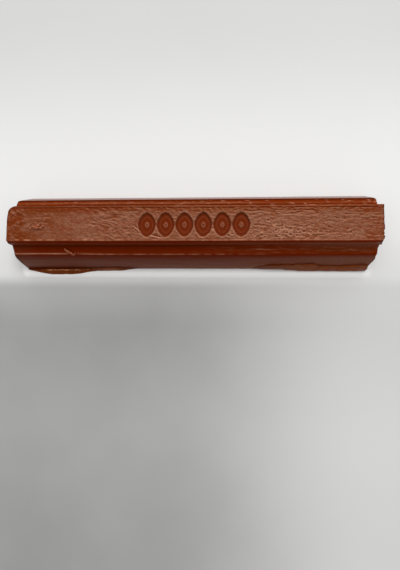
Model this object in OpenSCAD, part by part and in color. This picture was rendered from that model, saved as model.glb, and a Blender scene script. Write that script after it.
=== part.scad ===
// Cast wax filler stick, for filling scratches and dents in wooden furniture.
// It lies on its pour face, the side that was open in the mould, along X.
// The mould narrows away from that face, so the section steps in twice
// towards the narrow top face. Wax that ran over the mould's rim has left
// a thin lip and a thin skin along the foot of the front wall.
// Millimetres, +Z up, with the origin at the centre of the footprint.

/* [Bar] */
// Length of the bar from end to end
bar_len = 85.4; // [60:0.2:120]
// Height of the bar from the pour face to the top face
bar_h = 11.3; // [9.5:0.1:15]
// Width of the top face
top_w = 8.2; // [6.5:0.1:12]

/* [Upper slab] */
// Height of the slab that carries the top face
slab_h = 2.8; // [2:0.1:4]
// Slope of the slab's long sides from upright, in degrees
slab_draft = 10; // [4:1:20]
// Radius along the slab's two upper edges
slab_edge_r = 0.3; // [0.15:0.05:0.35]
// Radius of the inner corner where the slab meets the ledge
slab_foot_r = 0.3; // [0.1:0.05:0.5]
// Width of the bead along the back edge of the top face
back_bead_w = 0.4; // [0.4:0.05:1.2]
// Width of the bead along its front edge
front_bead_w = 0.45; // [0.4:0.05:1]
// Depth of the sunken panel between the two beads
panel_sink = 0.1; // [0.05:0.01:0.25]

/* [Ledge] */
// Width of the sloping ledge, seen from above
ledge_run = 1.85; // [1.4:0.05:3]
// Drop of the ledge over that width
ledge_drop = 1.2; // [0.6:0.1:2]
// Radius along the ledge's outer edge
ledge_edge_r = 0.8; // [0.2:0.1:1.2]

/* [Lower block] */
// Slope of the lower walls from upright, in degrees
wall_draft = 21.6; // [8:0.2:28]
// Height of the upright land at the mould's mouth
land_h = 0.6; // [0.5:0.05:1]

/* [Ends] */
// Radius of the slab's back corner at the worn end, seen along its sloping wall
slab_back_r = 2.3; // [0.8:0.1:3]
// Radius of the lower block's back corner at the worn end, seen along its wall
block_back_r = 1; // [0.4:0.1:3]
// Radius of both front corners at the worn end, seen along their walls
end_front_r = 0.6; // [0.2:0.1:2]
// Radius along the top edge of the worn end, seen from the side
end_top_r = 0.5; // [0.2:0.1:1.5]
// Side of the largest chip broken off the square end
chip_size = 0.9; // [0.3:0.1:1.4]

/* [Pour face] */
// Depth of the hollow that the wax leaves as it shrinks
sink_depth = 0.4; // [0.1:0.05:0.8]
// Width of the flat rim left round that hollow
sink_rim_w = 3.4; // [2.5:0.1:4.5]

/* [Overflow] */
// Length of the lip that lies flat at the foot of the front wall
lip_len = 28; // [15:1:32]
// Furthest that the lip reaches out from the foot
lip_reach = 1.4; // [0.6:0.1:2.5]
// Thickness of the lip
lip_t = 0.45; // [0.3:0.05:0.5]
// Length of the skin that clings to the front wall
skin_len = 27; // [15:1:32]
// Greatest height of the skin
skin_h = 3.1; // [2:0.1:4.5]
// Thickness of the skin
skin_t = 0.45; // [0.2:0.05:0.6]

/* [Loose wax] */
// Length of the shaving stuck to the front ledge
shaving_len = 2.5; // [1.5:0.1:2.6]
// Width of the shaving at its middle
shaving_w = 0.6; // [0.3:0.05:0.8]
// Thickness of the shaving
shaving_t = 0.4; // [0.2:0.05:0.6]
// Width of the largest crumb
crumb_w = 0.75; // [0.3:0.05:0.9]
// Length of the ragged burr on the square end
burr_len = 2.8; // [1.5:0.1:3.5]
// Height of the burr
burr_h = 0.8; // [0.4:0.1:1.2]
// How far the burr stands out from the end
burr_t = 0.22; // [0.1:0.02:0.4]

/* [Hidden] */

// Facets in each rounded corner and in the hollow's round ends, and overrun of every cut
arc_steps = 6;
sink_steps = 90;
cut = 1;

// Half widths and heights of the section's corners
slab_z = bar_h - slab_h;
ledge_z = slab_z - ledge_drop;
slab_foot_y = top_w / 2 + slab_h * tan(slab_draft);
ledge_y = slab_foot_y + ledge_run;
base_y = ledge_y + (ledge_z - land_h) * tan(wall_draft);
panel_z = bar_h - panel_sink;
panel_back_y = top_w / 2 - back_bead_w;
panel_front_y = top_w / 2 - front_bead_w;

// Slope of the ledge below the horizontal, and the middle of its face
ledge_slope = atan(ledge_drop / ledge_run);
ledge_mid_y = (slab_foot_y + ledge_y) / 2;
ledge_mid_z = (slab_z + ledge_z) / 2;

// Half of the hollow's width and length at the pour face
sink_y = base_y - sink_rim_w;
sink_x = bar_len / 2 - sink_rim_w;

// The lip widens the footprint on one side only, so the bar stands back by half of it
bar_back = lip_reach / 2;

// Bare foot left at the bar's ends, beyond the lip and beyond the skin
lip_end_gap = end_front_r;
skin_end_gap = 0.4;

// Place of the shaving, as a share of the bar's length from the middle
shaving_share = -0.343;

// Outline of the lip: [share of its length, share of its reach]
lip_shares = [[0, 0], [0.04, 0.36], [0.11, 0.66], [0.19, 1], [0.41, 1], [0.49, 0.85],
              [0.57, 0.54], [0.64, 0.44], [0.85, 0.43], [0.93, 0.14], [1, 0]];
// Top edge of the skin: [share of its length, share of its height]
skin_shares = [[0, 0.3], [0.14, 0.84], [0.32, 0.9], [0.49, 1], [0.57, 0.77], [0.76, 0.7],
               [1, 0.85]];
// Ragged edge of the burr: [share of its length, share of its height]
burr_shares = [[0, 0.3], [0.2, 1], [0.36, 0.35], [0.55, 0.9], [0.75, 0.75], [0.9, 1], [1, 0.5]];
// Plump outline of the shaving: [share of its length, share of its width]
shaving_shares = [[-0.5, 0], [-0.42, 0.36], [-0.1, 0.5], [0.3, 0.44], [0.5, 0.12],
                  [0.46, -0.3], [0.1, -0.5], [-0.38, -0.4]];
shaving_turn = -42;
// Crumbs on the top face: [share of the length, share of the panel's half width, share of the width]
crumb_top_shares = [[-0.428, -0.09, 0.7], [-0.419, -0.37, 1], [-0.404, -0.5, 0.8]];
// Crumbs on the front ledge: [share of the length, share of the ledge's width, share of the width]
crumb_ledge_shares = [[-0.323, -0.1, 0.75], [-0.316, 0.15, 0.6]];
crumb_flatness_share = 0.5;
// Chips: [share of half the width of the top face, share of the chip's size]
chip_shares = [[-0.98, 1], [-0.42, 0.4], [0.96, 0.3]];
chip_tilt = 45;
chip_turn = 25;

function unit(v) = v / norm(v);
function backwards(list) = [for (i = [len(list) - 1 : -1 : 0]) list[i]];

// Points of the arc of radius r that rounds corner p between its two neighbours
function corner_arc(before, p, after, r) =
    r == 0 ? [p] :
    let (
        u = unit(before - p),
        w = unit(after - p),
        half = acos(u * w) / 2,
        centre = p + unit(u + w) * r / sin(half),
        first = p + u * r / tan(half) - centre,
        last = p + w * r / tan(half) - centre,
        from = atan2(first.y, first.x),
        swing = atan2(last.y, last.x) - from,
        turn = swing > 180 ? swing - 360 : swing < -180 ? swing + 360 : swing
    )
    [for (i = [0 : arc_steps])
        let (angle = from + turn * i / arc_steps)
        centre + r * [cos(angle), sin(angle)]];

// Closed outline through corners given as [x, y, radius]
function rounded(corners) =
    let (n = len(corners), at = [for (c = corners) [c.x, c.y]])
    [for (i = [0 : n - 1]) each corner_arc(at[(i + n - 1) % n], at[i], at[(i + 1) % n], corners[i][2])];

// Value at t of a table of [place, value], eased from each entry to the next
function eased(table, t) =
    let (
        i = max([for (k = [0 : len(table) - 2]) if (table[k][0] <= t) k]),
        share = (t - table[i][0]) / (table[i + 1][0] - table[i][0]),
        ease = (1 - cos(180 * share)) / 2
    )
    table[i][1] + (table[i + 1][1] - table[i][1]) * ease;

// Outline over a straight edge of the given length, whose height follows a table of shares
eased_steps = 40;
function eased_outline(table, length, height) = concat(
    [[0, 0]],
    [for (k = [0 : eased_steps])
        let (t = k / eased_steps)
        [length * t, height * eased(table, t)]],
    [[length, 0]]);

// Corners of half of the section, on side -1 or 1, from the pour face up to the panel
function half_section(side, panel_y) = [
    [side * base_y, 0, 0],
    [side * base_y, land_h, 0],
    [side * ledge_y, ledge_z, ledge_edge_r],
    [side * slab_foot_y, slab_z, slab_foot_r],
    [side * top_w / 2, bar_h, slab_edge_r],
    [side * panel_y, bar_h, panel_sink / 2],
    [side * (panel_y - panel_sink), panel_z, 0]
];

module bar_section() {
    back = half_section(1, panel_back_y);
    front = half_section(-1, panel_front_y);
    polygon(rounded(concat(back, backwards(front))));
}

// Extrudes a section drawn in Y and Z along X, from x = start
module along_x(start, length) {
    translate([start, 0, 0]) rotate([90, 0, 90]) linear_extrude(length) children();
}

// What one back corner of the worn end loses between two heights. The corner stays
// round square to its wall, which leans in by draft and is wall_y out at wall_z.
module corner_cutter(r, draft, wall_y, wall_z, low, high) {
    reach = bar_h + cut;
    arc = corner_arc([0, -2 * r], [0, 0], [2 * r, 0], r);
    intersection() {
        translate([-bar_len / 2, wall_y, wall_z]) rotate([draft, 0, 0])
            linear_extrude(2 * reach, center = true)
                polygon(concat(arc, [[r, cut], [-cut, cut], [-cut, -r]]));
        translate([-bar_len / 2 - 2 * cut, 0, low]) cube([bar_len, 2 * base_y, high - low]);
    }
}

// Corners of the slab at the worn end, back and front
module slab_corners() {
    top = bar_h + cut;
    corner_cutter(slab_back_r, slab_draft, slab_foot_y, slab_z, slab_z, top);
    mirror([0, 1, 0]) corner_cutter(end_front_r, slab_draft, slab_foot_y, slab_z, slab_z, top);
}

// Corners of the lower block at the worn end, back and front
module block_corners() {
    corner_cutter(block_back_r, wall_draft, ledge_y, ledge_z, -cut, slab_z);
    mirror([0, 1, 0]) corner_cutter(end_front_r, wall_draft, ledge_y, ledge_z, -cut, slab_z);
}

// The space the bar may fill, seen from the side, with the worn end's top edge rounded
module side_limits() {
    x = bar_len / 2;
    rotate([90, 0, 0]) linear_extrude(2 * (base_y + cut), center = true)
        polygon(rounded([[-x, 0, 0], [x, 0, 0], [x, bar_h, 0], [-x, bar_h, end_top_r]]));
}

// Shallow dish left in the pour face: the cap of a long round-ended rod that lies along X
module shrinkage_hollow() {
    r = (pow(sink_y, 2) + pow(sink_depth, 2)) / (2 * sink_depth);
    x = sink_x - sink_y;
    quarter = [for (k = [0 : sink_steps]) let (a = 90 * k / sink_steps) [r * cos(a), x + r * sin(a)]];
    translate([0, 0, sink_depth - r]) rotate([0, 90, 0]) rotate_extrude($fn = 180)
        polygon(concat(quarter, [for (p = backwards(quarter)) [p.x, -p.y]]));
}

// Chips broken off the top edge of the square end
module end_chips() {
    for (c = chip_shares)
        translate([bar_len / 2, c[0] * top_w / 2, bar_h])
            rotate([0, chip_tilt, chip_turn])
                cube([c[1] * chip_size, 2 * c[1] * chip_size, c[1] * chip_size], center = true);
}

// The casting with its worn end, before it shrank and chipped
module worn_casting() {
    difference() {
        difference() {
            intersection() {
                along_x(-bar_len / 2, bar_len) bar_section();
                side_limits();
            }
            block_corners();
        }
        slab_corners();
    }
}

module wax_bar() {
    color("#7a3a1c")
    translate([0, bar_back, 0])
    difference() {
        worn_casting();
        shrinkage_hollow();
        end_chips();
    }
}

// Flat lip on the table, against the land at the foot of the front wall
module overflow_lip() {
    color("#6b3013")
    translate([lip_end_gap - bar_len / 2, bar_back - base_y, 0])
        mirror([0, 1, 0]) linear_extrude(lip_t)
            polygon(eased_outline(lip_shares, lip_len, lip_reach));
}

// Thin skin on the land and the foot of the front wall, with a wavy top edge
module overflow_skin() {
    foot = [base_y, land_h];
    end = [base_y - skin_h * tan(wall_draft), land_h + skin_h];
    x = bar_len / 2 - skin_end_gap - skin_len;
    color("#713417")
    translate([0, bar_back, 0]) intersection() {
        mirror([0, 1, 0]) along_x(x, skin_len)
            polygon([[base_y, 0], [base_y + skin_t, 0], foot + [skin_t, 0],
                     end + [skin_t, 0], end, foot]);
        translate([x, 0, 0]) rotate([90, 0, 0]) linear_extrude(base_y + skin_t + cut)
            polygon(eased_outline(skin_shares, skin_len, skin_h));
    }
}

// Ragged ridge on the square end, just under the top edge and towards the front
module end_burr() {
    color("#7a3a1c")
    translate([bar_len / 2, bar_back - top_w / 2, bar_h - chip_size - burr_h])
        rotate([90, 0, 90]) linear_extrude(burr_t)
            polygon(eased_outline(burr_shares, burr_len, burr_h));
}

// Puts its children on the front ledge: x along the bar, y up the slope, z off the ledge
module on_front_ledge(x, up = 0) {
    translate([x, bar_back - ledge_mid_y, ledge_mid_z])
        rotate([ledge_slope, 0, 0]) translate([0, up, 0]) children();
}

module wax_shaving() {
    color("#96502e")
    on_front_ledge(shaving_share * bar_len) rotate(shaving_turn) linear_extrude(shaving_t)
        polygon([for (p = shaving_shares) [p.x * shaving_len, p.y * shaving_w]]);
}

module crumb(w) {
    cylinder(w * crumb_flatness_share, d1 = w, d2 = w / 2, $fn = 24);
}

module wax_crumbs() {
    color("#8a4526") {
        for (c = crumb_top_shares)
            translate([c[0] * bar_len, bar_back + c[1] * panel_front_y, panel_z]) crumb(c[2] * crumb_w);
        for (c = crumb_ledge_shares)
            on_front_ledge(c[0] * bar_len, c[1] * ledge_run) crumb(c[2] * crumb_w);
    }
}

wax_bar();
overflow_lip();
overflow_skin();
end_burr();
wax_shaving();
wax_crumbs();
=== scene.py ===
"""Looks of a cast wax filler stick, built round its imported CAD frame.

Shapes are worked out in millimetres, with y measured from the bar's own middle
plane, and turned into metres when a mesh is made.
"""
import math
from itertools import product
from types import SimpleNamespace

import bmesh
import bpy
import numpy as np
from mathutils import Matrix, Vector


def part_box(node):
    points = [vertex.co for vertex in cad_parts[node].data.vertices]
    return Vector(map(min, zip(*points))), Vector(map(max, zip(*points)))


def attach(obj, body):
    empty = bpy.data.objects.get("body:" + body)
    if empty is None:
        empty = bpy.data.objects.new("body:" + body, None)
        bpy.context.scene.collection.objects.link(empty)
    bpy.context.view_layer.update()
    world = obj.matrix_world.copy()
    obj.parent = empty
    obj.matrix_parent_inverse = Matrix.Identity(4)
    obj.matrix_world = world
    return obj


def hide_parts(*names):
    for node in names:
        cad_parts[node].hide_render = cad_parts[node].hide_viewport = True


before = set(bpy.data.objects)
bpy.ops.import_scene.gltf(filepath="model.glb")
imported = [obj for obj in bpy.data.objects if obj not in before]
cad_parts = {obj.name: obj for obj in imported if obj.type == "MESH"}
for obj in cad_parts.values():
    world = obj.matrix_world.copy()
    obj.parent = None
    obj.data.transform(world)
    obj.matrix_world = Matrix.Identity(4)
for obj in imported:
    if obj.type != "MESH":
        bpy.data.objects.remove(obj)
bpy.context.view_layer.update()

MM = 0.001

# The bar's own size and place, from the frame
bar_low, bar_high = [np.array(corner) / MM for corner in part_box("wax_bar")]
BAR_END = bar_high[0]
BAR_H = bar_high[2]
BASE_Y = (bar_high[1] - bar_low[1]) / 2
BAR_BACK = (bar_high[1] + bar_low[1]) / 2

# Section of the bar, as in the frame
TOP_Y = 4.1
SLAB_H = 2.8
SLAB_DRAFT = math.radians(10)
LEDGE_RUN = 1.85
LEDGE_DROP = 1.2
LAND_H = 0.6
PANEL_SINK = 0.1
BACK_BEAD = 0.4
FRONT_BEAD = 0.45
SINK_DEPTH = 0.4
SINK_RIM = 3.4

SLAB_Z = BAR_H - SLAB_H
LEDGE_Z = SLAB_Z - LEDGE_DROP
SLAB_FOOT_Y = TOP_Y + SLAB_H * math.tan(SLAB_DRAFT)
LEDGE_Y = SLAB_FOOT_Y + LEDGE_RUN
PANEL_Z = BAR_H - PANEL_SINK
PANEL_BACK = TOP_Y - BACK_BEAD
PANEL_FRONT = FRONT_BEAD - TOP_Y

# The back foot is rubbed in by this much
BACK_WEAR = 0.1

# Radii of the section's corners, softened by handling
FOOT_R = 0.12
LAND_R = 0.2
LEDGE_R = 0.5
SLAB_FOOT_R = 0.3
EDGE_R = 0.3
BEAD_R = 0.08

# Mesh spacing on each face
UNDER_STEP = 1.8
LAND_STEP = 0.25
BACK_WALL_STEP = 0.75
FRONT_WALL_STEP = 0.35
LEDGE_STEP = 0.18
SLAB_STEP = 0.3
BEAD_STEP = 0.1
PANEL_STEP = 0.15
ARC_STEPS = 4

# Row of stamped marks on the top face
MARKS = 6
MARK_PITCH = 4.28
MARK_W = 4.0
MARK_L = 5.5
MARK_MIDDLE = (0.75, -0.3)
MARK_DEPTH = 0.45
MARK_STROKE = 1.1
ISLAND_RISE = 0.45
MARK_SHAPE = 1.7
MARK_ROW = (MARKS * MARK_PITCH + MARK_W) / 2

# Mesh spacing along the bar, and the zone at each end in which it widens
BAR_STEP = 0.205
MARK_STEP = 0.145
END_STEP = 0.05
END_ZONE = 2.4

# Worn end, at -X, and square end, at +X
SLAB_BACK_R = 1.8
SLAB_FRONT_R = 0.5
BLOCK_BACK_R = 0.2
BLOCK_FRONT_R = 0.6
WORN_BULGE = 0.66
WORN_LEAN = 1.8
SQUARE_BULGE = -0.12
BULGE_REACH = 5
BULGE_SHAPE = 0.7
WORN_SHIFT = 0.1
SQUARE_SHIFT = -0.13
CAP_RINGS = 16
CAP_MIDDLE = (0, 4.5)
WEAR_REACH = 1.2
WEAR_TURNS = 10
WEAR_SHARE = 0.6
SQUARE_WEAR_REACH = 0.25

# Smooth noise: size of its tables, spread that brings it to about -1 to 1, and shift between octaves
NOISE_TABLE = 256
NOISE_SPREAD = 1.7
OCTAVE_SHIFT = 17.3


def smoothstep(low, high, value):
    t = np.clip((value - low) / (high - low), 0, 1)
    return t * t * (3 - 2 * t)


def bell(value, middle, width):
    return np.exp(-(((value - middle) / width) ** 2))


def between(value, rise, fall):
    """1 between the stretches rise and fall, and 0 outside them"""
    return smoothstep(*rise, value) * smoothstep(fall[1], fall[0], value)


def along_edge(y, z, edge_y, edge_z, width):
    """How near points lie to an edge that runs along the bar, up to 1"""
    return bell(np.hypot(y - edge_y, z - edge_z), 0, width)


def noise(points, seed):
    """Smooth random field, about -1 to 1, over points given in cells"""
    rng = np.random.default_rng(seed)
    shuffle = rng.permutation(NOISE_TABLE)
    slopes = rng.normal(size=(NOISE_TABLE, 3))
    slopes /= np.linalg.norm(slopes, axis=1, keepdims=True)
    cell = np.floor(points).astype(int)
    inside = points - cell
    ease = inside ** 3 * (inside * (inside * 6 - 15) + 10)
    total = np.zeros(points.shape[:-1])
    for corner in product((0, 1), repeat=3):
        corner = np.array(corner)
        key = cell + corner
        pick = 0
        for axis in range(3):
            pick = shuffle[(pick + key[..., axis]) % NOISE_TABLE]
        rise = ((inside - corner) * slopes[pick]).sum(-1)
        share = np.where(corner == 1, ease, 1 - ease).prod(-1)
        total += rise * share
    return total * NOISE_SPREAD


def grain(points, cell_size, seed, octaves=2):
    """Noise over points in millimetres; cell_size is its grain along x, y and z"""
    scaled = points / np.array(cell_size)
    total = np.zeros(points.shape[:-1])
    for octave in range(octaves):
        total += noise(scaled * 2 ** octave + OCTAVE_SHIFT * octave, seed + octave) / 2 ** octave
    return total


def on_line(x):
    """Points along x, for grain that changes along the bar only"""
    return np.stack([x, 0 * x, 0 * x], -1)


def rounded_path(corners):
    """Closed path through rows of y, z, radius and the spacing of points up to the next corner"""
    path = []
    count = len(corners)
    at = np.array([row[:2] for row in corners])

    def tangent_points(i):
        before, after = at[i - 1] - at[i], at[(i + 1) % count] - at[i]
        before, after = before / np.linalg.norm(before), after / np.linalg.norm(after)
        half = math.acos(np.clip(before @ after, -1, 1)) / 2
        reach = corners[i][2] / math.tan(half)
        return at[i] + before * reach, at[i] + after * reach

    for i, (_, _, radius, spacing) in enumerate(corners):
        first, last = tangent_points(i)
        for t in np.linspace(0, 1, ARC_STEPS + 1 if radius else 1):
            path.append((1 - t) ** 2 * first + 2 * t * (1 - t) * at[i] + t ** 2 * last)
        goal = tangent_points((i + 1) % count)[0]
        pieces = max(1, round(np.linalg.norm(goal - last) / spacing))
        path.extend(last + (goal - last) * k / pieces for k in range(1, pieces))
    return np.array(path)


def bar_section():
    return rounded_path([
        (0, 0, 0, UNDER_STEP),
        (BASE_Y - BACK_WEAR, 0, FOOT_R, LAND_STEP),
        (BASE_Y - BACK_WEAR, LAND_H, LAND_R, BACK_WALL_STEP),
        (LEDGE_Y, LEDGE_Z, LEDGE_R, LEDGE_STEP),
        (SLAB_FOOT_Y, SLAB_Z, SLAB_FOOT_R, SLAB_STEP),
        (TOP_Y, BAR_H, EDGE_R, BEAD_STEP),
        (PANEL_BACK, BAR_H, BEAD_R, BEAD_STEP),
        (PANEL_BACK - PANEL_SINK, PANEL_Z, BEAD_R, PANEL_STEP),
        (PANEL_FRONT + PANEL_SINK, PANEL_Z, BEAD_R, BEAD_STEP),
        (PANEL_FRONT, BAR_H, BEAD_R, BEAD_STEP),
        (-TOP_Y, BAR_H, EDGE_R, SLAB_STEP),
        (-SLAB_FOOT_Y, SLAB_Z, SLAB_FOOT_R, LEDGE_STEP),
        (-LEDGE_Y, LEDGE_Z, LEDGE_R, FRONT_WALL_STEP),
        (-BASE_Y, LAND_H, LAND_R, LAND_STEP),
        (-BASE_Y, 0, FOOT_R, UNDER_STEP),
    ])


def stations():
    """Places along the bar, closer together at its ends and over the stamped marks"""
    places = [-BAR_END]
    while places[-1] < BAR_END:
        x = places[-1]
        near_end = min(x + BAR_END, BAR_END - x) / END_ZONE
        step = MARK_STEP if abs(x - MARK_MIDDLE[0]) < MARK_ROW else BAR_STEP
        places.append(x + min(step, END_STEP + max(near_end, 0) * step))
    places[-1] = BAR_END
    return np.array(places)


def corner_bite(distance, radius):
    """How far a corner of this radius draws the side in, at this distance from the end"""
    short = np.clip(radius - distance, 0, radius)
    return radius - np.sqrt(radius ** 2 - short ** 2)


def bulge(share):
    """Rounding of an end over its height, from 0 at both edges to 1 between them"""
    return (4 * share * (1 - share)) ** BULGE_SHAPE


def end_cap(end):
    """Rings that close an end, from its middle out to its edge"""
    flat = end * [0, 1, 1]
    middle = np.array([0, *CAP_MIDDLE])
    shares = np.linspace(0, 1, CAP_RINGS, endpoint=False)[:, None, None]
    cap = middle + (flat - middle) * shares
    cap[..., 0] = end[:, 0].mean() + (end[:, 0] - end[:, 0].mean()) * shares[..., 0]
    return cap


def bar_rings():
    """Rings of points round the bar, end cap to end cap, with its worn and square ends"""
    section = bar_section()
    y, z = section[:, 0], section[:, 1]
    x = stations()
    distance = (x + BAR_END)[:, None]
    in_slab = z > SLAB_Z - SLAB_FOOT_R
    radius = np.where(y > 0, np.where(in_slab, SLAB_BACK_R, BLOCK_BACK_R),
                      np.where(in_slab, SLAB_FRONT_R, BLOCK_FRONT_R))
    tier_y = np.where(in_slab, np.maximum(np.abs(y), TOP_Y), np.maximum(np.abs(y), LEDGE_Y))
    limit = tier_y - corner_bite(distance, radius)
    rings = np.empty((len(x), len(y), 3))
    rings[..., 0] = x[:, None]
    rings[..., 1] = np.sign(y) * np.minimum(np.abs(y), limit)
    rings[..., 2] = z

    # The lower block's worn end bulges out, most above half its height, and its square end in
    up = np.clip(z / LEDGE_Z, 0, 1)
    rings[..., 0] -= WORN_BULGE * bulge(up ** WORN_LEAN) * smoothstep(BULGE_REACH, 0, distance)
    rings[..., 0] += SQUARE_BULGE * bulge(up) * smoothstep(BULGE_REACH, 0, (BAR_END - x)[:, None])
    rings = np.concatenate([end_cap(rings[0]), rings, end_cap(rings[-1])[::-1]])

    # The worn end is drawn in at the back and stands out low on the slab's front; the square end steps
    # in under the slab
    x, y, z = np.moveaxis(rings, -1, 0)
    near_worn = smoothstep(BULGE_REACH, 0, x + BAR_END)
    near_square = smoothstep(BULGE_REACH, 0, BAR_END - x)
    low_front = bell(z, SLAB_Z + 1, 0.75) * smoothstep(-2, -4.2, y)
    worn_out = WORN_SHIFT - 0.5 * smoothstep(1, 4.5, y) + 0.8 * low_front
    worn_out -= 0.12 * bell(z, SLAB_Z - 0.3, 2.2) * (y < 0)
    below = between(z, (LEDGE_Z - 3, LEDGE_Z - 1), (SLAB_Z + 0.1, SLAB_Z + 0.7))
    square_in = SQUARE_SHIFT + 0.36 * below - 0.3 * bell(z, 5.5, 1.3)
    rings[..., 0] -= near_worn * worn_out + near_square * square_in

    # Handling has rounded the edges of both ends
    worn = smoothstep(WEAR_REACH, 0, rings[..., 0] + BAR_END)[..., None]
    square = smoothstep(SQUARE_WEAR_REACH, 0, BAR_END - rings[..., 0])[..., None]
    for turn in range(WEAR_TURNS):
        inner = rings[1:-1]
        around = (rings[:-2] + rings[2:] + np.roll(inner, 1, 1) + np.roll(inner, -1, 1)) / 4
        weight = worn[1:-1] if turn >= 1 else np.maximum(worn, square)[1:-1]
        rings[1:-1] = inner + (around - inner) * weight * WEAR_SHARE
    return rings


# Points closer than this, in metres, become one
SAME_POINT = 1e-8


def add_object(name, data):
    made = bpy.data.objects.new(name, data)
    bpy.context.scene.collection.objects.link(made)
    return made


def mesh_of_rings(name, *groups):
    """Closed meshes, one through each group of rings of points in millimetres, as one object.

    A first or last ring of one repeated point closes that end.
    """
    places, faces, used = [], [], 0
    for rings in groups:
        near, far = rings[:-1], rings[1:]
        beside, across = np.roll(near, -1, 1), np.roll(far, -1, 1)
        volume = (np.cross(near, beside) * across + np.cross(near, across) * far).sum()
        rings = rings if volume > 0 else rings[::-1]

        # A face between each two neighbours on each two rings
        count, size = rings.shape[:2]
        ring, side = np.meshgrid(np.arange(count - 1), np.arange(size), indexing="ij")
        first = used + ring * size + side
        second = used + ring * size + (side + 1) % size
        faces += np.stack([first, second, second + size, first + size], -1).reshape(-1, 4).tolist()
        places += (rings.reshape(-1, 3) * MM + [0, BAR_BACK * MM, 0]).tolist()
        used += count * size
    mesh = bpy.data.meshes.new(name)
    mesh.from_pydata(places, [], faces)
    shape = bmesh.new()
    shape.from_mesh(mesh)
    bmesh.ops.remove_doubles(shape, verts=shape.verts, dist=SAME_POINT)
    shape.to_mesh(mesh)
    shape.free()
    mesh.shade_smooth()
    return add_object(name, mesh)


def mesh_points(piece):
    """Vertices in millimetres, with y from the bar's middle plane, and their normals"""
    mesh = piece.data
    points = np.empty(len(mesh.vertices) * 3)
    mesh.vertices.foreach_get("co", points)
    normals = np.empty(len(mesh.vertices) * 3)
    mesh.vertex_normals.foreach_get("vector", normals)
    return points.reshape(-1, 3) / MM - [0, BAR_BACK, 0], normals.reshape(-1, 3)


def set_points(piece, points):
    placed = (points + [0, BAR_BACK, 0]) * MM
    piece.data.vertices.foreach_set("co", placed.ravel())
    piece.data.update()


def paint(piece, **layers):
    """Stores values from 0 to 1 at the vertices, a layer for each name, for the material to read"""
    for name, values in layers.items():
        values = np.broadcast_to(values, len(piece.data.vertices))
        layer = piece.data.attributes.new(name, "FLOAT", "POINT")
        layer.data.foreach_set("value", np.clip(values, 0, 1).astype(np.float32))


def mark_distance(x, y):
    """Distance outside the outline of the nearest stamped mark; negative inside"""
    middle_x, middle_y = MARK_MIDDLE
    row = np.clip(np.round((x - middle_x) / MARK_PITCH - 0.5), -MARKS / 2, MARKS / 2 - 1) + 0.5
    across = np.abs(x - middle_x - row * MARK_PITCH) / (MARK_W / 2)
    along = np.abs(y - middle_y) / (MARK_L / 2)
    reach = (across ** MARK_SHAPE + along ** MARK_SHAPE) ** (1 / MARK_SHAPE)
    width = MARK_W * MARK_L / 4 / math.hypot(MARK_W / 2, MARK_L / 2)
    return (reach - 1) * width


# Slant of the ripples, in degrees, and the distance over which slopes that face the light are found
RIPPLE_SLANT = 18
FACING_REACH = 0.13

# Chance details of the top face; the drifts of crumbled wax at the worn end are given by x and y
BUBBLES = 70
DRIFT_CRUMBS = 34
DRIFTS = ((-40.9, 2.2), (-40.9, -0.4))
SCRATCHES = 20


def burst_bubbles(x, y, rng, height, rub):
    """Adds bubbles that burst against the mould: small craters with a raised, rubbed lip, and a painted
    glint beside each
    """
    for _ in range(BUBBLES):
        centre_x = rng.choice([rng.normal(20.5, 3.6), rng.uniform(2, 38)], p=[0.7, 0.3])
        centre_y = rng.normal(-1.9, 0.9)
        size = rng.uniform(0.14, 0.3)
        away = np.hypot(x - centre_x, y - centre_y) / size
        lip = bell(away, 1.45, 0.42) * smoothstep(-0.6, 0.9, (centre_y - y) / size)
        height += 0.5 * size * (0.7 * bell(away, 1.5, 0.45) - bell(away, 0, 0.9))
        glint = bell(np.hypot(x - centre_x, y - centre_y + 1.6 * size), 0, 0.16)
        np.maximum(rub, lip * rng.uniform(0.3, 1.1), out=rub)
        np.maximum(rub, glint * rng.uniform(-0.6, 1.6), out=rub)


def crumbled_drifts(x, y, rng, height, rub):
    """Adds the crumbled wax at the worn end, in slanting drifts"""
    for _ in range(DRIFT_CRUMBS):
        along = rng.uniform(-1.6, 1.6)
        drift_x, drift_y = DRIFTS[rng.integers(len(DRIFTS))]
        centre_x = drift_x + along * 0.8 + rng.normal(0, 0.35)
        centre_y = drift_y + along * 0.7 + rng.normal(0, 0.35)
        away = np.hypot(x - centre_x, y - centre_y) / rng.uniform(0.15, 0.4)
        height += rng.uniform(0.04, 0.14) * bell(away, 0, 1)
        np.maximum(rub, rng.uniform(0.1, 0.6) * bell(away, 0, 0.7), out=rub)


def scratches(x, y, rng, height, rub):
    """Adds scratches along the bar, each with a rubbed ridge in front of it"""
    for _ in range(SCRATCHES):
        start = rng.uniform(8, 36) if rng.random() < 0.7 else rng.uniform(-38, 6)
        end = start + rng.uniform(1.5, 6)
        track = rng.uniform(-3, 3) + 0.05 * np.sin(x * 1.3 + start) + (x - start) * rng.normal(0, 0.03)
        window = between(x, (start, start + 0.6), (end - 0.6, end))
        height -= rng.uniform(0.04, 0.08) * window * bell(y, track, 0.13)
        height += 0.04 * window * bell(y, track - 0.28, 0.15)
        np.maximum(rub, 0.22 * window * bell(y, track - 0.26, 0.1), out=rub)


def crease(x, y, height, rub):
    """Adds one curved crease that runs under the first mark"""
    track = -0.2 - 3.7 * (1 - np.exp(-np.clip(x + 13.2, 0, None) / 4.2))
    window = between(x, (-13.4, -12.6), (-6.4, -5.2))
    height += window * (0.1 * bell(y, track - 0.3, 0.2) - 0.18 * bell(y, track, 0.16))
    np.maximum(rub, 0.9 * window * bell(y, track - 0.26, 0.13), out=rub)


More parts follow.
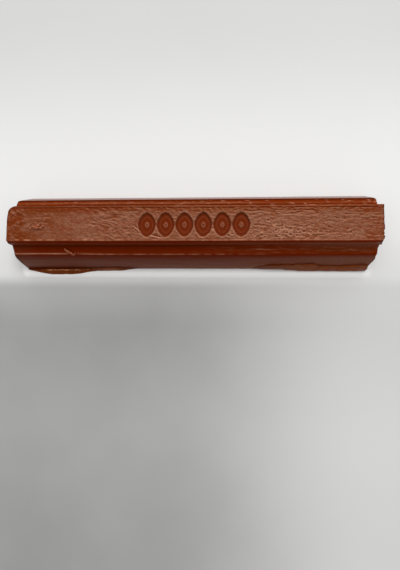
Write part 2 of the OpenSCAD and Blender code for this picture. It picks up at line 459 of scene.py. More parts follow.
def top_relief(points):
    """Height of the cast top face over its flat panel, in millimetres, and where it is rubbed pale and
    carries painted glints
    """
    x, y = points[:, 0], points[:, 1]
    flat = points * [1, 1, 0]

    # Ripples from the mould, strongest left of the marks and slanting down to the right
    turn = math.radians(RIPPLE_SLANT) * (1 - 0.75 * smoothstep(3, 16, x))
    bend = grain(flat, (5, 2.5, 1), 11) * 0.9
    along = x * np.cos(turn) - y * np.sin(turn) + bend
    across = (x - 10) * np.sin(turn) + y * np.cos(turn) + bend * 0.5
    rippled = np.stack([along, across, 0 * x], -1)
    strength = 0.045 - 0.015 * smoothstep(-22, -28, x) + 0.085 * bell(x, -17, 6)
    strength += 0.025 * bell(x, 22, 9) + 0.02 * bell(x, 33, 6)
    strength *= 1 + 0.4 * grain(flat, (7, 3, 1), 12)
    height = 0.035 * grain(flat, (9, 3.5, 1), 21)
    height += strength * grain(rippled, (1.6, 0.55, 1), 31, 3)

    # Finer grain, drawn out along the bar but for its left part, and crumbly at the worn end
    height += 0.05 * grain(flat, (0.75, 0.42, 1), 41, 2)
    drawn_out = 0.035 * smoothstep(-27, -12, x) + 0.02 * smoothstep(6, 18, x)
    height += drawn_out * grain(flat, (1.6, 0.26, 1), 47, 2)
    crumbly = 0.15 * smoothstep(-34.5, -40.5, x)
    height += crumbly * np.maximum(grain(rippled, (1.5, 0.8, 1), 43, 3), -0.2)

    # Pale rubbed crests, and painted glints as pale specks, most round the bubbles
    rub = 0.35 * smoothstep(0.06, 0.16, height)
    specks = grain(flat, (0.55, 0.3, 1), 45, 2)
    rub += smoothstep(0.4, 0.9, specks) * (0.2 + bell(x, 21, 13) * (0.3 + 0.4 * bell(y, -2, 1.5)))

    rng = np.random.default_rng(5)
    burst_bubbles(x, y, rng, height, rub)
    crumbled_drifts(x, y, rng, height, rub)
    scratches(x, y, rng, height, rub)
    crease(x, y, height, rub)
    return height, rub


def stamp_relief(points):
    """Height of the stamped marks, how far each point lies on their floor, and their pale rubbed edges,
    with a painted highlight on their front edges
    """
    x, y = points[:, 0], points[:, 1]
    gap = mark_distance(x, y) + 0.05 * grain(points * [1, 1, 0], (0.9, 0.9, 1), 131)
    inside = smoothstep(0.1, -0.16, gap)
    island = smoothstep(-MARK_STROKE - 0.02, -MARK_STROKE - 0.26, gap)
    rise = 0.06 * bell(gap, 0.2, 0.12) + 0.05 * bell(gap, -MARK_STROKE - 0.24, 0.09)
    rise -= 0.05 * bell(gap, -MARK_STROKE - 0.55, 0.14)
    rise += 0.04 * bell(gap, -MARK_STROKE / 2, 0.13)
    rub = 0.5 * bell(gap, 0.15, 0.08) * (0.4 + 0.6 * (y < MARK_MIDDLE[1]))
    rub += 0.5 * bell(gap, -MARK_STROKE - 0.2, 0.08) + 0.12 * bell(gap, -MARK_STROKE / 2, 0.09)
    return rise - MARK_DEPTH * (inside - ISLAND_RISE * island), inside * (1 - 0.3 * island), rub


# Upper edge of the skin on the front wall, x and height, and how far its foot stands out
SKIN_EDGE = np.array([
    (14.6, 0.5), (15.5, 1.1), (17.2, 2.0), (18.8, 2.55), (21, 2.6), (23.6, 2.85), (26, 2.75), (28.3, 3.1),
    (29.3, 2.95), (30.3, 2.4), (33, 2.2), (35.6, 2.15), (38.5, 2.5), (41.6, 2.64), (42.45, 2.5)])
SKIN_FOOT = np.array([
    (14.6, 0.02), (18, 0.1), (21.5, 0.22), (24, 0.45), (26.2, 0.72), (34, 0.74), (38, 0.78), (41, 0.7),
    (42.45, 0.6)])
SKIN_RISE = 0.16


def bar_faces(points, normals):
    """The bar's points, with how far each belongs to each face and stretch of it, from 0 to 1"""
    x, y, z = points.T
    up = normals[:, 2]
    at = SimpleNamespace(points=points, x=x, y=y, z=z, up=up)
    at.top = smoothstep(0.8, 0.97, up) * (z > PANEL_Z - 0.2)
    at.panel = at.top * between(y, (PANEL_FRONT - 0.05, PANEL_FRONT + 0.15),
                                (PANEL_BACK - 0.15, PANEL_BACK + 0.05))
    at.under = (up < -0.8) & (z < LAND_H)
    at.ledge = bell(np.abs(y), (SLAB_FOOT_Y + LEDGE_Y) / 2, 1.3) * bell(z, (SLAB_Z + LEDGE_Z) / 2, 1)
    at.end_face = smoothstep(0.55, 0.85, np.abs(normals[:, 0]))
    at.front = (y < 0) * (1 - at.top) * (1 - at.end_face)
    at.slab_wall = at.front * between(z, (SLAB_Z - 0.2, SLAB_Z + 0.3), (BAR_H - 1.4, BAR_H - 0.6))
    at.front_ledge = at.ledge * at.front * smoothstep(0.6, 0.8, up)
    at.back_ledge = (y > 0) * (1 - at.top) * smoothstep(0.6, 0.8, up)
    at.back_wall = (y > 0) * smoothstep(0.8, 0.5, up) * (z < LEDGE_Z + 0.2) * (1 - at.end_face)
    at.left = smoothstep(-12, -17, x)
    at.right = smoothstep(-5, 25, x)
    at.far_right = smoothstep(18, 36, x)
    return at


def bar_rise(at):
    """How far the points of the bar stand out along their normals, in millimetres"""
    points, y, z = at.points, at.y, at.z
    rise = at.panel * (at.relief * (1 - 0.8 * at.floor) + at.stamp)
    rise += (at.top - at.panel) * at.relief * 0.5
    rise -= 0.03 * bell(y, PANEL_BACK - 0.2, 0.2) * at.top

    # Long streaks that the mould left along the sides, and a slow swell everywhere
    sides = 1 - np.maximum(at.top, at.under)
    rise += sides * (0.02 * grain(points, (12, 0.9, 0.9), 51, 3) + 0.03 * grain(points, (14, 9, 9), 61))
    rise += at.ledge * 0.03 * grain(points, (7, 0.3, 0.3), 71)
    rise += along_edge(np.abs(y), z, LEDGE_Y, LEDGE_Z, 0.5) * 0.04 * grain(points, (1.8, 2, 2), 81, 3)
    rise += along_edge(np.abs(y), z, TOP_Y, BAR_H, 0.4) * 0.04 * grain(points, (1.1, 2, 2), 91, 3)

    # A groove at the back foot of the slab, and the crevice over the lip
    rise -= 0.2 * along_edge(y, z, SLAB_FOOT_Y + 0.25, SLAB_Z, 0.35)
    rise -= 0.3 * bell(at.x, -19.9, 2.2) * (y < 0) * bell(z, LAND_H + 0.65, 0.25)
    return rise


def hollow_out(at, moved):
    """Sinks the pour face, all but its rim, as wax does when it sets"""
    over_y = np.clip(np.abs(at.y) / (BASE_Y - SINK_RIM), 0, 1)
    over_x = np.clip((np.abs(at.x) - (BAR_END - BASE_Y)) / (BASE_Y - SINK_RIM), 0, 1)
    hollow = SINK_DEPTH * np.clip(1 - over_y ** 2 - over_x ** 2, 0, 1)
    moved[at.under, 2] = hollow[at.under]
    moved[:, 2] = np.maximum(moved[:, 2], 0)


def rag_square_end(at, moved):
    """Makes the square end ragged, and chips it at its front top corner"""
    y, z = at.y, at.z
    end_zone = smoothstep(BAR_END - 1.1, BAR_END - 0.1, at.x)
    ragged = 0.12 * grain(at.points * [0, 1, 1], (1, 0.7, 0.9), 141, 3)
    ragged *= 0.35 + 0.65 * smoothstep(0.5, -1.5, y)
    spur = 0.4 * bell(y, -4.6, 0.5) * bell(z, 9, 0.4)
    corner = bell(y, -TOP_Y - 0.15, 0.55) * bell(z, BAR_H, 1.1)
    notch = 0.3 * bell(y, -1.9, 0.15) * bell(z, BAR_H, 0.6)
    notch += 0.25 * bell(y, -2.75, 0.14) * bell(z, BAR_H, 0.4)
    hollow_foot = 0.35 * bell(z, 1.6, 1.1)
    moved[:, 0] += end_zone * (ragged - 0.5 * corner - notch + spur - hollow_foot)
    moved[:, 2] -= end_zone * 0.25 * corner


def bar_bloom(at):
    """Dry pale bloom, most on the top face, and painted reflection of the paper where the front walls
    mirror it
    """
    points, x, y, z, front = at.points, at.x, at.y, at.z, at.front
    haze = 0.7 + 0.34 * grain(points, (5, 2.2, 4), 101) + 0.2 * grain(points, (0.9, 0.6, 2), 111)
    haze += 0.1 * bell(x, 17, 7) + (5 - 3.4 * bell(x, -19, 9)) * at.relief * (x > -34)
    haze -= 0.05 * smoothstep(20, 30, x) + 0.25 * smoothstep(34, 42, x) + 0.28 * smoothstep(-24, -30, x)
    haze -= (0.85 + 0.38 * smoothstep(0, 20, x)) * bell(y, TOP_Y + 0.2, 1.3)
    haze += 0.05 * smoothstep(5, 20, x)
    border = y + 0.35 * grain(points, (2.5, 9, 9), 321, 2) + 0.5 * smoothstep(-28, -33, x)
    haze *= smoothstep(TOP_Y - 0.7, TOP_Y - 1.7, border)
    haze -= 0.8 * smoothstep(-35.5, -42, x) * (0.75 + 1.1 * grain(points, (2, 1.5, 2), 121))
    bloom = at.top * haze * (1 - 0.97 * at.panel * at.floor)

    # Painted reflection: the front walls, slab wall and lobe get the pale bloom colour where they mirror
    # the paper
    mirror = smoothstep(6.6, 3.2, z) * (0.62 + 0.3 * smoothstep(3, 0.8, z) * (1 - at.left))
    mirror *= 1 - at.left * smoothstep(2.6, 1.2, z)
    bloom += 0.45 * front * mirror * smoothstep(0.75, 0.4, at.up)
    bloom += 0.65 * front * bell(z, 1.3, 0.5) * (1 - at.left) * smoothstep(22, 10, x)
    bloom += 0.34 * at.far_right * front * smoothstep(LEDGE_Z - 0.2, LEDGE_Z - 1, z)
    bloom += 0.3 * at.far_right * front * bell(z, SLAB_Z - 0.1, 0.35)
    bloom += 0.12 * front * smoothstep(-36, -41, x)
    bloom += 0.7 * front * bell(x, -20.7, 3.2) * bell(z, LAND_H + 0.15, 0.35)
    bloom += at.slab_wall * (0.33 * bell(z, SLAB_Z + 1, 0.35) + 0.12 * at.right + 0.25 * at.far_right)
    bloom += 0.3 * at.end_face * (1 + grain(points, (1.5, 1.5, 1.5), 341, 2))
    return bloom


def bar_warm(at):
    """Painted light and shade: the lit orange copy of the wax where light reaches, the shaded deep red copy
    on the front and in the grooves, and lighter painted streaks on the front ledge
    """
    points, y, z = at.points, at.y, at.z
    warm = smoothstep(-TOP_Y - 0.1, -TOP_Y + 0.3, y) * (0.9 + 0.3 * grain(points, (6, 0.5, 3), 151))
    warm -= 0.9 * along_edge(y, z, SLAB_FOOT_Y + 0.4, SLAB_Z - 0.2, 0.4)
    warm -= 0.8 * bell(y, PANEL_BACK - 0.15, 0.13) * at.top
    warm -= 1.2 * along_edge(y, z, LEDGE_Y, LEDGE_Z, 0.5)
    warm += at.front * 0.4 * smoothstep(LEDGE_Z - 0.4, LEDGE_Z - 1.5, z)
    warm += at.slab_wall * (0.15 + 0.45 * at.right)
    warm *= 1 - 0.7 * at.floor * at.panel
    warm += (0.5 - warm) * at.end_face
    streaks = 0.15 + 0.35 * smoothstep(-10, 30, at.x) + 0.25 * at.far_right
    streaks += 0.3 * grain(points, (6, 0.35, 0.35), 271)
    return warm + at.ledge * at.front * streaks


def top_rub(at):
    """Pale rubbed ripples and marks of the top face, painted light on its slopes that face the light, and
    painted highlights along its front rim and back bead
    """
    points, x, y = at.points, at.x, at.y
    # Painted light on the slopes that face the light
    lit = 0.5 * smoothstep(0.1, 0.55, at.facing) * smoothstep(-43, -36, x)
    lit *= 1 - 0.25 * smoothstep(-5, -12, x) - 0.25 * smoothstep(23, 29, x)
    rub = at.top * at.panel * np.maximum(np.maximum(at.relief_rub, lit) * (1 - at.floor), at.stamp_rub)

    # Painted highlight along the front rim
    uneven = (0.5 + 0.3 * smoothstep(-10, -25, x)) * grain(points, (1.3, 9, 9), 171, 2)
    rim = 0.25 + 0.1 * smoothstep(-5, 15, x) - 0.3 * smoothstep(-37, -41.5, x) + uneven
    rim *= smoothstep(0.45, 0.8, at.up) * (at.z > SLAB_Z + 1)
    rub += rim * bell(y, -TOP_Y + 0.36 - 0.1 * bell(x, 2, 12) + at.wander, 0.13)
    # Painted highlight along the back bead
    bead = 0.7 + 0.6 * grain(points, (2.5, 9, 9), 181, 2)
    return rub + 0.3 * bead * at.top * bell(y, TOP_Y - 0.16 + at.wander, 0.12)


def back_rub(at):
    """Painted highlights on the back ledge: a pale line and short glinting streaks"""
    points, x = at.points, at.x
    strength = 0.26 - 0.1 * smoothstep(-25, -32, x) - 0.16 * smoothstep(5, 20, x)
    strength *= 0.8 + 0.5 * grain(points, (4, 0.6, 9), 191, 2)
    track = LEDGE_Y - 0.9 + 0.12 * smoothstep(-8, -20, x) + at.wander
    streaks = smoothstep(0.36, 0.85, grain(points, (1.6, 0.25, 9), 281, 2))
    streaks *= 0.9 * (0.4 + 0.6 * smoothstep(0, 20, x))
    return at.back_ledge * (strength * bell(at.y, track, 0.2) + streaks)


def front_rub(at):
    """Painted highlight along the front ledge's edge, broken by the shaving, and painted pale streaks and
    glints beside and below it
    """
    points, x, y, z = at.points, at.x, at.y, at.z
    drop = 0.03 + 0.11 * smoothstep(-28, -20, x)
    line = along_edge(y + at.wander * 0.5, z, -LEDGE_Y + 0.1 - drop, LEDGE_Z + 0.02 - drop, 0.15)
    line *= 1 - 0.9 * between(x, (-29.7, -29.2), (-27.6, -27.1))
    strength = 0.3 + 0.6 * grain(points, (2.2, 9, 9), 251, 2) + 0.4 * smoothstep(8, -10, x)
    strength += 0.55 * smoothstep(-27, -33, x) - 0.3 * smoothstep(-37, -41, x)
    rub = smoothstep(22, 10, x) * line * strength
    scuffs = 0.25 * bell(x, 36.5, 2.2) * bell(y + 0.15 * grain(points, (2, 9, 9), 291), -5.65, 0.11)
    scuffs += 0.4 * bell(x, 17, 3) * bell(y + 0.15 * grain(points, (2, 9, 9), 301), -5.5, 0.1)
    streaks = smoothstep(0.15, 0.7, grain(points, (3.5, 0.2, 9), 331, 2)) * smoothstep(-8, 20, x)
    rub += 0.2 * at.front_ledge * streaks

    # Painted highlight over the skin's crack, and a painted glint where it begins
    scuffs += 0.25 * bell(z, at.crack_z + 0.3, 0.12) * between(x, (19.6, 21), (24, 25.5))
    scuffs += 0.6 * bell(x, 17.2, 0.5) * bell(z, at.crack_z + 0.1, 0.14)
    return rub + at.front * scuffs


def bar_dark(at):
    """Painted shade: dark lines in the grooves, at the beads' feet, at the back of the ledge, in the
    crevice and the skin's crack, and over the back wall, the lower front wall and the ends
    """
    x, y, z, front, top = at.x, at.y, at.z, at.front, at.top
    dark = 0.7 * along_edge(y, z, SLAB_FOOT_Y + 0.25, SLAB_Z, 0.36)
    dark += 0.5 * at.back_wall * smoothstep(LEDGE_Z - 2, LEDGE_Z - 0.5, z)
    dark += 0.8 * (y > 0) * along_edge(y, z, LEDGE_Y, LEDGE_Z, 0.38)
    dark += front * (0.18 - 0.1 * at.right) * (z < LEDGE_Z - 0.5)
    dark += 0.1 * at.ledge * front * smoothstep(10, -10, x)
    dark += 0.72 * smoothstep(-3, -18, x) * along_edge(y, z, TOP_Y + 0.05, BAR_H - 0.1, 0.26)
    dark += 0.55 * at.back_ledge * bell(y, 5.17 - 0.0085 * x, 0.13) * between(x, (-33, -29), (24, 30))
    dark += 0.15 * top * bell(y + at.wander, PANEL_BACK - 0.14, 0.11)
    dark += 0.2 * top * bell(y + 2 * at.wander, PANEL_BACK - 0.7, 0.12)
    dark += (0.65 - 0.6 * at.right) * along_edge(y, z, -SLAB_FOOT_Y - 0.1, SLAB_Z, 0.3)
    dark += 0.6 * smoothstep(BAR_END - 0.25, BAR_END - 0.05, x)
    dark += 0.6 * smoothstep(-BAR_END + 0.3, -BAR_END, x)

    # Painted shade in the crevice over the lip, darkest in three places, and in the crack over the skin
    crevice = 0.8 * bell(x, -22.9, 1.1) + 0.6 * bell(x, -18.5, 0.8) + 0.35 * bell(x, -20.7, 1.5)
    dark += crevice * bell(z, LAND_H + 0.75, 0.25) * front
    dark += 0.45 * at.left * bell(z, LAND_H + 0.35, 0.6) * front * (1 - 0.85 * bell(x, -20.7, 3.4))
    dark += 0.15 * front * bell(z, at.crack_z, 0.1) * between(x, (18, 23), (29, 34))

    # Painted shade on the edges and floor of the marks, and on the slopes that face away from the light
    rim = bell(mark_distance(x, y), -0.04, 0.1) * (0.2 + 0.25 * smoothstep(-1, 2.5, y))
    dark += at.panel * (rim + 0.33 * at.floor)
    shaded = 0.52 - 0.17 * smoothstep(-5, -12, x) - 0.12 * smoothstep(23, 29, x)
    dark += shaded * at.panel * (1 - at.floor) * smoothstep(0.1, 0.55, -at.facing)
    return dark


def bar_gloss(at):
    """Gloss, most low on the walls, which mirror the paper"""
    z, front, right = at.z, at.front, at.right
    gloss = 0.32 * at.top * (1 - 0.85 * at.floor) + 0.1 * front * smoothstep(3, 1.2, z) * (1 - at.left)
    gloss += front * (0.32 - 0.05 * right) * smoothstep(LEDGE_Z - 0.4 * right, 2.5 + 2.2 * right, z)
    gloss *= 1 - at.left * front * smoothstep(2, 0.9, z)
    gloss += at.slab_wall * (0.06 + 0.08 * right)
    gloss += 0.85 * at.back_wall * smoothstep(5.5, 3.5, z)
    return gloss + 0.25 * at.end_face


def make_bar():
    piece = mesh_of_rings("bar_wax", bar_rings())
    points, normals = mesh_points(piece)
    at = bar_faces(points, normals)
    at.stamp, at.floor, at.stamp_rub = stamp_relief(points)
    at.relief, at.relief_rub = top_relief(points)
    further, _ = top_relief(points + [0, FACING_REACH, 0])
    at.facing = (at.relief - further) / FACING_REACH
    at.wander = 0.07 * grain(points, (3, 9, 9), 161, 2)
    at.crack_z = np.interp(at.x, *SKIN_EDGE.T) + SKIN_RISE

    # Relief along the normals, and a slab that widens at its back towards the worn end
    moved = points + normals * bar_rise(at)[:, None]
    back_top = smoothstep(2.5, 3.6, at.y) * smoothstep(SLAB_Z, SLAB_Z + 1, at.z)
    moved[:, 1] += 0.11 * smoothstep(8, -25, at.x) * back_top
    hollow_out(at, moved)
    rag_square_end(at, moved)
    set_points(piece, moved)
    paint(piece, bloom=bar_bloom(at), warm=bar_warm(at), rub=top_rub(at) + back_rub(at) + front_rub(at),
          dark=bar_dark(at), gloss=bar_gloss(at))
    return piece


WALL_SLOPE = (BASE_Y - LEDGE_Y) / (LEDGE_Z - LAND_H)


def wall_out(z):
    """How far the front wall stands out from its foot at height z; it leans back above the land"""
    return -np.maximum(z - LAND_H, 0) * WALL_SLOPE


def closed_ends(rings):
    """Adds a one-point ring at the middle of the first and the last ring"""
    ends = [np.repeat(ring.mean(0)[None, None], rings.shape[1], 1) for ring in (rings[0], rings[-1])]
    return np.concatenate([ends[0], rings, ends[1]])


def front_strip(name, x, profiles):
    """Strip along the foot of the front wall, from a profile at each x.

    A profile is rows of distance out from the foot, and height.
    """
    rings = np.stack([np.repeat(x[:, None], profiles.shape[1], 1),
                      -BASE_Y - profiles[..., 0], profiles[..., 1]], -1)
    return mesh_of_rings(name, closed_ends(rings))


# Reach of the lip along the foot: x, and distance out
LIP_OUTLINE = np.array([
    (-42.55, 0.3), (-42.2, 0.55), (-41.2, 0.75), (-39.1, 1.15), (-37.0, 1.6), (-34.5, 1.62), (-30.7, 1.58),
    (-28.6, 1.38), (-26.5, 0.92), (-24.4, 0.72), (-18.3, 0.66), (-16.2, 0.36), (-14.4, 0.06)])
LIP_T = 0.5
LIP_STEPS = 220
LIP_SOFTENING = 6
LIP_TOP_POINTS = 22
LIP_UNDER_POINTS = 5
LIP_OVERLAP = 0.08

# Shape of the lip from the wall out: up to a bead, then down to the thin outer edge
LIP_ACROSS = [0, 0.06, 0.14, 0.26, 0.42, 0.6, 0.85, 0.95, 1]
LIP_RISE = [0.1, 0.45, 0.9, 1, 0.8, 0.62, 0.55, 0.4, 0.1]


def make_lip():
    x = np.linspace(LIP_OUTLINE[0, 0], LIP_OUTLINE[-1, 0], LIP_STEPS)
    line = on_line(x)
    reach = np.interp(x, *LIP_OUTLINE.T)
    share = np.ones(2 * LIP_SOFTENING + 1) / (2 * LIP_SOFTENING + 1)
    soft = np.convolve(np.pad(reach, LIP_SOFTENING, "edge"), share, "valid")
    reach = np.maximum(soft - 0.12 + 0.05 * grain(line, (1.6, 1, 1), 201, 2), 0.04)[:, None]
    thick = LIP_T * np.minimum(1, 0.25 + reach / 0.9)
    thick *= 1 + 0.12 * grain(line, (2.5, 1, 1), 211, 2)[:, None]

    # Over the top from inside the wall to the outer edge, and back underneath
    t = np.linspace(0, 1, LIP_TOP_POINTS)
    out = -LIP_OVERLAP + (reach + LIP_OVERLAP) * t
    up = thick * np.interp(t, LIP_ACROSS, LIP_RISE)
    under = np.linspace(1, 0, LIP_UNDER_POINTS)[1:-1]
    bottom = np.stack([reach * under, 0 * reach * under], -1)
    profiles = np.concatenate([np.stack([out, up], -1), bottom], 1)
    piece = front_strip("lip_wax", x, profiles)
    points, normals = mesh_points(piece)
    rough = 0.03 * grain(points, (0.9, 0.45, 0.6), 221, 2) * smoothstep(0.06, 0.2, points[:, 2])
    points += normals * rough[:, None]
    set_points(piece, points)

    x, y, z = points.T
    # Painted golden highlight along the crest of the lip's bead; the lobe is a little paler
    crest = smoothstep(LIP_T * 0.7, LIP_T * 0.98, z) * between(x, (-39.5, -35.5), (-25, -20.5))
    crest *= 0.5 + 1.4 * grain(points, (0.8, 0.25, 0.4), 261, 2)
    lobe = bell(x, -20.8, 2.6) * smoothstep(0.1, 0.3, z)
    # Painted shade over the lip, under the wall, and most in the crevice between the lip and the wall
    crevice = smoothstep(-BASE_Y - 0.42, -BASE_Y - 0.2, y) * smoothstep(-23, -26.5, x)
    paint(piece,
          bloom=0.75 * smoothstep(-26, -23, x) + 0.2 * grain(points, (1.2, 0.5, 0.5), 231),
          warm=0.2 - 0.2 * smoothstep(-27, -24, x) + 0.5 * grain(points, (1.5, 0.5, 0.5), 241),
          rub=0.17 * lobe + crest,
          dark=0.17 + 0.5 * crevice,
          gloss=0.3 * (1 - crevice))
    return piece


SKIN_T = 0.42
SKIN_STEPS = 240
SKIN_POINTS = 18


def make_skin():
    x = np.linspace(SKIN_EDGE[0, 0], SKIN_EDGE[-1, 0], SKIN_STEPS)
    line = on_line(x)
    top = np.interp(x, *SKIN_EDGE.T) + 0.16 * grain(line, (1.3, 1, 1), 301, 3)
    foot = np.maximum(np.interp(x, *SKIN_FOOT.T) * 0.78 + 0.04 * grain(line, (2, 1, 1), 311, 2), 0.03)
    x = x - 0.3 * smoothstep(36, 42.45, x)
    thick = SKIN_T * smoothstep(14.4, 20, x) * (1 + 0.25 * grain(line, (1.8, 1, 1), 321, 2)) + 0.05
    gap = (0.045 + 0.04 * grain(line, (1.7, 1, 1), 361, 2)) * (bell(x, 26, 6) + 0.15)
    top, foot, thick, gap = [values[:, None] for values in (top, foot, thick, gap)]

    # Up its outer side, over the crest, into the crack, and down behind to the foot
    t = np.linspace(0, 1, SKIN_POINTS)
    z = top * t
    out = wall_out(z) + foot + (thick - foot) * t ** 0.8 - 0.12 * thick * smoothstep(0.7, 1, t)
    behind = 0 * foot + 0.01
    corners = [(wall_out(top) + np.minimum(gap + 0.14, thick), top + 0.1),
               (wall_out(top) + gap, top - 0.02),
               (wall_out(top - 0.5) + 0.05, np.maximum(top - 0.5, 0.1)),
               (behind, np.minimum(0.3, top * 0.5)),
               (behind, 0 * foot)]
    profiles = [np.stack([out, z], -1)] + [np.stack(corner, -1) for corner in corners]
    piece = front_strip("skin_wax", x, np.concatenate(profiles, 1))
    points, normals = mesh_points(piece)
    facing = smoothstep(0.1, -0.3, normals[:, 1]) * smoothstep(0.02, 0.2, points[:, 2])
    rough = facing * 0.05 * grain(points, (2.2, 0.8, 0.8), 331, 3)
    points += normals * rough[:, None]
    set_points(piece, points)

    x = points[:, 0]
    # Painted shade on the faces turned back towards the wall
    paint(piece,
          bloom=0.18 + 0.4 * grain(points, (2, 0.5, 0.5), 341, 3) - 0.22 * smoothstep(24, 34, x),
          warm=smoothstep(19, 27, x) * (0.8 + 0.5 * grain(points, (3, 0.8, 0.8), 351)),
          dark=0.12 * smoothstep(-0.2, 0.2, normals[:, 1]),
          gloss=0.2)
    return piece


def lump(centre, size, seed, rings=15, sides=22):
    """Rings of an uneven pebble; size is its half length along x, y and z"""
    polar = np.linspace(0, math.pi, rings)[:, None]
    around = np.linspace(0, 2 * math.pi, sides, endpoint=False)[None]
    ball = np.stack([np.sin(polar) * np.cos(around), np.sin(polar) * np.sin(around),
                     np.cos(polar) + 0 * around], -1)
    uneven = 1 + 0.5 * grain(ball + seed, (0.75, 0.75, 0.75), seed, 3)[..., None]
    return ball * uneven * np.array(size) + centre


# Teeth of the burr: place along it, length and height, as shares of its half size; and their first seed
BURR_TEETH = ((-0.72, 0.3, 0.8), (-0.3, 0.26, 0.6), (0.12, 0.34, 0.95), (0.62, 0.4, 0.75))
BURR_SEED = 3
LOOSE_GLOSS = 0.32


def make_burr():
    low, high = [np.array(corner) / MM - [0, BAR_BACK, 0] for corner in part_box("end_burr")]
    middle = (low + high) / 2
    half = (high - low) / 2
    groups = []
    for seed, (share, width, height) in enumerate(BURR_TEETH, BURR_SEED):
        centre = middle + half * [-1, share, 0.15]
        groups.append(lump(centre, (2 * half[0], width * half[1], height * half[2]), seed))
    piece = mesh_of_rings("burr_wax", *groups)
    paint(piece, bloom=0.45, warm=0.8, gloss=LOOSE_GLOSS)
    return piece


LEDGE_SLOPE = math.atan2(LEDGE_DROP, LEDGE_RUN)
SHAVING_X = -29.0
SHAVING_UP = -0.45
SHAVING_OFF = 0.1
SHAVING_LEN = 2.8
SHAVING_W = 0.62
SHAVING_T = 0.2
SHAVING_BOW = 0.12
SHAVING_TURN = math.radians(-46)
SHAVING_RINGS = 60
SHAVING_SIDES = 20


def turned(first, second, angle):
    """Two coordinates, turned by an angle in their plane"""
    return (first * math.cos(angle) - second * math.sin(angle),
            first * math.sin(angle) + second * math.cos(angle))


def on_ledge(points):
    """Puts points in x along the bar, y up the slope and z off the front ledge in their place"""
    x, y, z = np.moveaxis(points, -1, 0)
    y, z = turned(y, z, LEDGE_SLOPE)
    return np.stack([x, y - (SLAB_FOOT_Y + LEDGE_Y) / 2, z + (SLAB_Z + LEDGE_Z) / 2], -1)


def make_shaving():
    """A sliver that bows off the ledge, thick in its middle, with ragged long sides; its upper faces are
    painted lighter, as lit
    """
    along = np.linspace(-0.5, 0.5, SHAVING_RINGS)
    around = np.linspace(0, 2 * math.pi, SHAVING_SIDES, endpoint=False)
    width = SHAVING_W / 2 * np.clip(1 - (2 * np.abs(along)) ** 3.5, 0.06, 1)
    width *= 1 + 0.22 * grain(on_line(along * SHAVING_LEN), (0.5, 1, 1), 401, 3)
    along, width = along[:, None], width[:, None]
    rings = np.zeros((SHAVING_RINGS, SHAVING_SIDES, 3))
    rings[..., 0] = along * SHAVING_LEN
    rings[..., 1] = width * np.cos(around) + SHAVING_BOW * np.sin(along * 5)
    rings[..., 2] = SHAVING_T * (0.9 + 0.9 * np.sin(around) * np.cos(along * math.pi) ** 0.5)
    rings[..., 2] += SHAVING_BOW * (1 - (2 * along) ** 2) + 0.05 * grain(rings, (0.35, 0.25, 0.4), 411, 2)
    rings[..., 0], rings[..., 1] = turned(rings[..., 0], rings[..., 1], SHAVING_TURN)
    rings += [SHAVING_X, SHAVING_UP, SHAVING_OFF]
    piece = mesh_of_rings("shaving_wax", closed_ends(on_ledge(rings)))
    points, normals = mesh_points(piece)
    rub = 0.42 + 0.4 * smoothstep(-29.2, -29.8, points[:, 0]) + 0.6 * grain(points, (0.5, 0.3, 0.3), 431)
    paint(piece, bloom=0.3 + 0.3 * grain(points, (0.4, 0.4, 0.4), 421), warm=0.9,
          rub=smoothstep(0.2, 0.7, normals[:, 2]) * rub, gloss=LOOSE_GLOSS)
    return piece


# Crumbs on the top face: x, y, half width; and on the front ledge: x, up the slope, half width
TOP_CRUMBS = (
    (-36.3, -0.7, 0.36), (-35.6, -0.9, 0.5), (-35.1, -0.35, 0.42), (-34.6, -1.0, 0.4), (-34.0, -0.5, 0.3),
    (-37.0, -1.1, 0.3), (-37.6, -0.8, 0.22), (-33.4, -0.95, 0.2), (-36.9, -0.1, 0.2), (-33.9, 0.9, 0.26),
    (-34.4, 1.3, 0.18))
LEDGE_CRUMBS = ((-27.75, -0.9, 0.2), (-28.0, -1.3, 0.17), (-27.3, -1.1, 0.1), (-26.9, -0.6, 0.08))
TOP_CRUMB_SHAPE = np.array([1.15, 0.85, 0.55])
LEDGE_CRUMB_SHAPE = np.array([1, 0.8, 0.65])
CRUMB_SEED = 20
CRUMB_LIFT = 0.25


def make_crumbs():
    groups = []
    for x, y, size in TOP_CRUMBS:
        centre = np.array([x, y, PANEL_Z + CRUMB_LIFT * size])
        groups.append(lump(centre, size * TOP_CRUMB_SHAPE, CRUMB_SEED + len(groups)))
    for x, y, size in LEDGE_CRUMBS:
        centre = on_ledge(np.array([x, y, CRUMB_LIFT * size]))
        groups.append(lump(centre, size * LEDGE_CRUMB_SHAPE, CRUMB_SEED + len(groups)))
    piece = mesh_of_rings("crumbs_wax", *groups)
    points, normals = mesh_points(piece)
    # The crumbs' upper faces are painted lighter, as lit, more so on the ledge
    rub = 0.36 + 0.34 * (points[:, 2] < SLAB_Z) + 0.8 * grain(points, (0.3, 0.3, 0.3), 451)
    paint(piece, bloom=0.45, warm=0.5 + 0.8 * grain(points, (0.5, 0.5, 0.5), 441),
          rub=smoothstep(0.4, 0.9, normals[:, 2]) * rub, gloss=LOOSE_GLOSS)
    return piece


def feed(node, inputs):
    """Sets a node's inputs to values, or links them to the outputs of other nodes"""
    for name, value in inputs.items():
        if isinstance(value, bpy.types.NodeSocket):
            node.id_data.links.new(value, node.inputs[name])
        else:
            node.inputs[name].default_value = value


def noise_node(place, scale, detail, roughness, distortion=0.0):
    node = place.id_data.nodes.new("ShaderNodeTexNoise")
    feed(node, {"Vector": place, "Scale": scale, "Detail": detail, "Roughness": roughness,
                "Distortion": distortion})
    return node.outputs["Fac"]


def ramp(value, low, high, low_out=0.0, high_out=1.0):
    node = value.id_data.nodes.new("ShaderNodeMapRange")
    feed(node, {"Value": value, "From Min": low, "From Max": high, "To Min": low_out, "To Max": high_out})
    return node.outputs["Result"]


